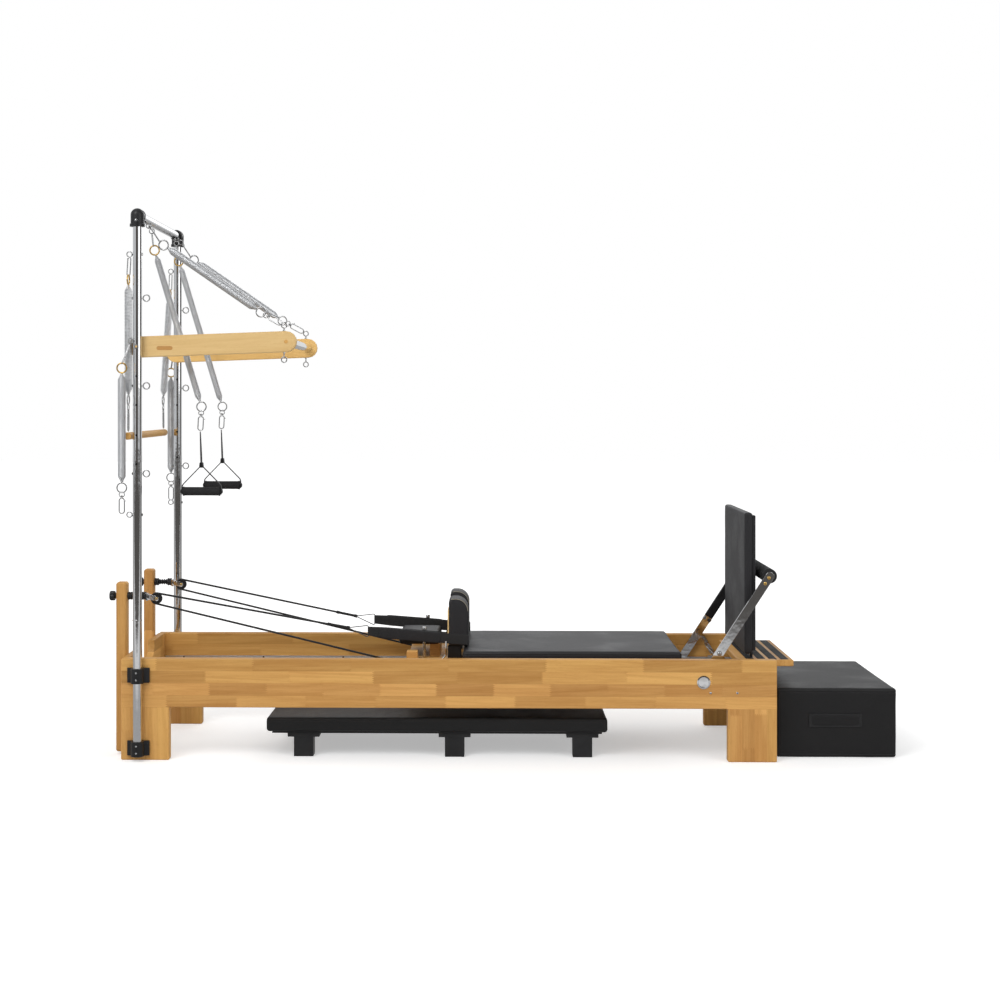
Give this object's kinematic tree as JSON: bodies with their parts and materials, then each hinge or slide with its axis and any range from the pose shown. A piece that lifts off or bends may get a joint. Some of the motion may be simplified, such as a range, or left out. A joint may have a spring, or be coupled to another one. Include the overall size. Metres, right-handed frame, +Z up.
{
  "type": "pilates reformer with half tower",
  "caption": "Wooden exercise frame with a sliding padded carriage, footbar, jump board, pulley ropes, and a tubular tower with hanging springs and a push-through bar.",
  "frame": {"origin": "on the floor, under the middle of the whole object with its sitting box", "axes": "+X from the tower at the head end to the sitting box at the foot end, +Y away from the side that the picture shows, +Z up"},
  "size_m": [2.9168, 0.851, 2.0175],
  "materials": {
    "wood": "oiled finger-jointed hardwood",
    "chrome": "polished",
    "spring_steel": "satin wire",
    "aluminium": "anodised",
    "vinyl": "charcoal vinyl upholstery",
    "plastic": "moulded black",
    "foam": "closed-cell foam",
    "webbing": "woven black",
    "painted_wood": "black paint"
  },
  "bodies": {
    "frame": {"side_frame_near": "wood", "side_frame_far": "wood", "head_board": "wood", "foot_board": "wood", "foot_platform": "wood", "track_near": "aluminium", "track_far": "aluminium", "riser_near": "wood", "riser_far": "wood", "pulley_rod_near": "plastic", "pulley_rod_far": "plastic", "rope_near": "webbing", "rope_far": "webbing", "carriage_spring_pack": "spring_steel", "tower_post_near": "chrome", "tower_post_far": "chrome", "tower_crossbar": "chrome", "tower_elbow_near": "plastic", "tower_elbow_far": "plastic", "tower_clamp_near_lower": "plastic", "tower_clamp_near_upper": "plastic", "tower_clamp_far_lower": "plastic", "tower_clamp_far_upper": "plastic", "push_spring_near": "spring_steel", "push_spring_far": "spring_steel"},
    "pulley_near": {"pulley_wheel_near": "plastic"},
    "pulley_far": {"pulley_wheel_far": "plastic"},
    "carriage": {"carriage_deck": "wood", "carriage_pad": "vinyl", "foot_loop_near": "webbing", "foot_loop_far": "webbing"},
    "headrest": {"headrest": "vinyl"},
    "shoulder_near": {"shoulder_rest_near": "vinyl"},
    "shoulder_far": {"shoulder_rest_far": "vinyl"},
    "wheelset_head": {"wheelset_head": "plastic"},
    "wheelset_foot": {"wheelset_foot": "plastic"},
    "footbar": {"footbar_frame": "chrome", "footbar_grip": "foam"},
    "footbar_strut": {"footbar_strut": "chrome"},
    "jump_board": {"jump_board_pad": "vinyl", "jump_board_back": "painted_wood"},
    "sitting_box": {"sitting_box": "vinyl"},
    "stored_mat": {"mat_pad": "vinyl", "mat_base": "painted_wood"},
    "push_bar": {"push_arm_near": "wood", "push_arm_far": "wood", "push_bar_dowel": "chrome", "push_eyebolt_near": "chrome", "push_eyebolt_far": "chrome"},
    "roll_down": {"roll_spring_near": "spring_steel", "roll_spring_far": "spring_steel", "roll_down_bar": "wood"},
    "arm_spring_near": {"arm_spring_near": "spring_steel"},
    "arm_spring_far": {"arm_spring_far": "spring_steel"},
    "handle_near": {"handle_strap_near": "webbing", "handle_grip_near": "foam"},
    "handle_far": {"handle_strap_far": "webbing", "handle_grip_far": "foam"},
    "leg_spring_near": {"leg_spring_near": "spring_steel"},
    "leg_spring_far": {"leg_spring_far": "spring_steel"}
  },
  "joints": [
    {"name": "carriage_slide", "type": "slide", "parent": "frame", "child": "carriage", "axis": [-1, 0, 0], "range_m": [0, 0.8], "stiffness_N_per_m": 600, "springref_m": -0.05, "deforming": ["rope_near", "rope_far", "carriage_spring_pack"]},
    {"name": "headrest_tilt", "type": "hinge", "parent": "carriage", "child": "headrest", "pos_m": [-0.2285, 0, 0.3925], "axis": [0, 1, 0], "range_deg": [0, 26]},
    {"name": "shoulder_near_lift", "type": "slide", "parent": "carriage", "child": "shoulder_near", "axis": [0, 0, 1], "range_m": [0, 0.2]},
    {"name": "shoulder_far_lift", "type": "slide", "parent": "carriage", "child": "shoulder_far", "axis": [0, 0, 1], "range_m": [0, 0.2]},
    {"name": "wheelset_head_roll", "type": "hinge", "parent": "carriage", "child": "wheelset_head", "pos_m": [-0.2505, 0, 0.2903], "axis": [0, 1, 0], "continuous": true},
    {"name": "wheelset_foot_roll", "type": "hinge", "parent": "carriage", "child": "wheelset_foot", "pos_m": [0.5695, 0, 0.2903], "axis": [0, 1, 0], "continuous": true},
    {"name": "pulley_near_turn", "type": "hinge", "parent": "frame", "child": "pulley_near", "pos_m": [-1.2825, -0.235, 0.578], "axis": [0, 1, 0], "continuous": true},
    {"name": "pulley_far_turn", "type": "hinge", "parent": "frame", "child": "pulley_far", "pos_m": [-1.2825, 0.235, 0.578], "axis": [0, 1, 0], "continuous": true},
    {"name": "footbar_fold", "type": "hinge", "parent": "frame", "child": "footbar", "pos_m": [0.7395, 0, 0.287], "axis": [0, 1, 0], "range_deg": [0, 41]},
    {"name": "footbar_strut_fold", "type": "hinge", "parent": "footbar", "child": "footbar_strut", "pos_m": [0.8045, 0, 0.387], "axis": [0, 1, 0], "range_deg": [-84, 2]},
    {"name": "jump_board_lift", "type": "slide", "parent": "frame", "child": "jump_board", "axis": [0, 0, 1], "range_m": [0, 0.25]},
    {"name": "sitting_box_away", "type": "slide", "parent": "frame", "child": "sitting_box", "axis": [1, 0, 0], "range_m": [0, 0.5]},
    {"name": "stored_mat_out", "type": "slide", "parent": "frame", "child": "stored_mat", "axis": [0, -1, 0], "range_m": [0, 0.7]},
    {"name": "push_bar_swing", "type": "hinge", "parent": "frame", "child": "push_bar", "pos_m": [-1.3245, 0, 1.5125], "axis": [0, 1, 0], "range_deg": [-30, 45], "stiffness_Nm_per_rad": 90, "springref_deg": -17.42, "deforming": ["push_spring_near", "push_spring_far"]},
    {"name": "roll_down_swing", "type": "hinge", "parent": "frame", "child": "roll_down", "pos_m": [-1.3535, 0, 1.85], "axis": [0, 1, 0], "range_deg": [0, 40]},
    {"name": "arm_spring_near_swing", "type": "hinge", "parent": "frame", "child": "arm_spring_near", "pos_m": [-1.302, -0.23, 1.95], "axis": [0, 1, 0], "range_deg": [-30, 14]},
    {"name": "arm_spring_far_swing", "type": "hinge", "parent": "frame", "child": "arm_spring_far", "pos_m": [-1.302, 0.23, 1.95], "axis": [0, 1, 0], "range_deg": [-30, 14]},
    {"name": "handle_near_swing", "type": "hinge", "parent": "arm_spring_near", "child": "handle_near", "pos_m": [-1.1205, -0.23, 1.203], "axis": [0, 1, 0], "range_deg": [-30, 30]},
    {"name": "handle_far_swing", "type": "hinge", "parent": "arm_spring_far", "child": "handle_far", "pos_m": [-1.1205, 0.23, 1.203], "axis": [0, 1, 0], "range_deg": [-30, 30]},
    {"name": "leg_spring_near_swing", "type": "hinge", "parent": "frame", "child": "leg_spring_near", "pos_m": [-1.345, -0.3925, 1.534], "axis": [0, 1, 0], "range_deg": [-25, 35]},
    {"name": "leg_spring_far_swing", "type": "hinge", "parent": "frame", "child": "leg_spring_far", "pos_m": [-1.345, 0.3925, 1.534], "axis": [0, 1, 0], "range_deg": [-25, 35]}
  ],
  "couplings": [
    {"joint": "wheelset_head_roll", "follows": "carriage_slide", "rad_per_m": -45.455},
    {"joint": "wheelset_foot_roll", "follows": "carriage_slide", "rad_per_m": -45.455},
    {"joint": "footbar_strut_fold", "follows": "footbar_fold", "ratio": -2}
  ]
}
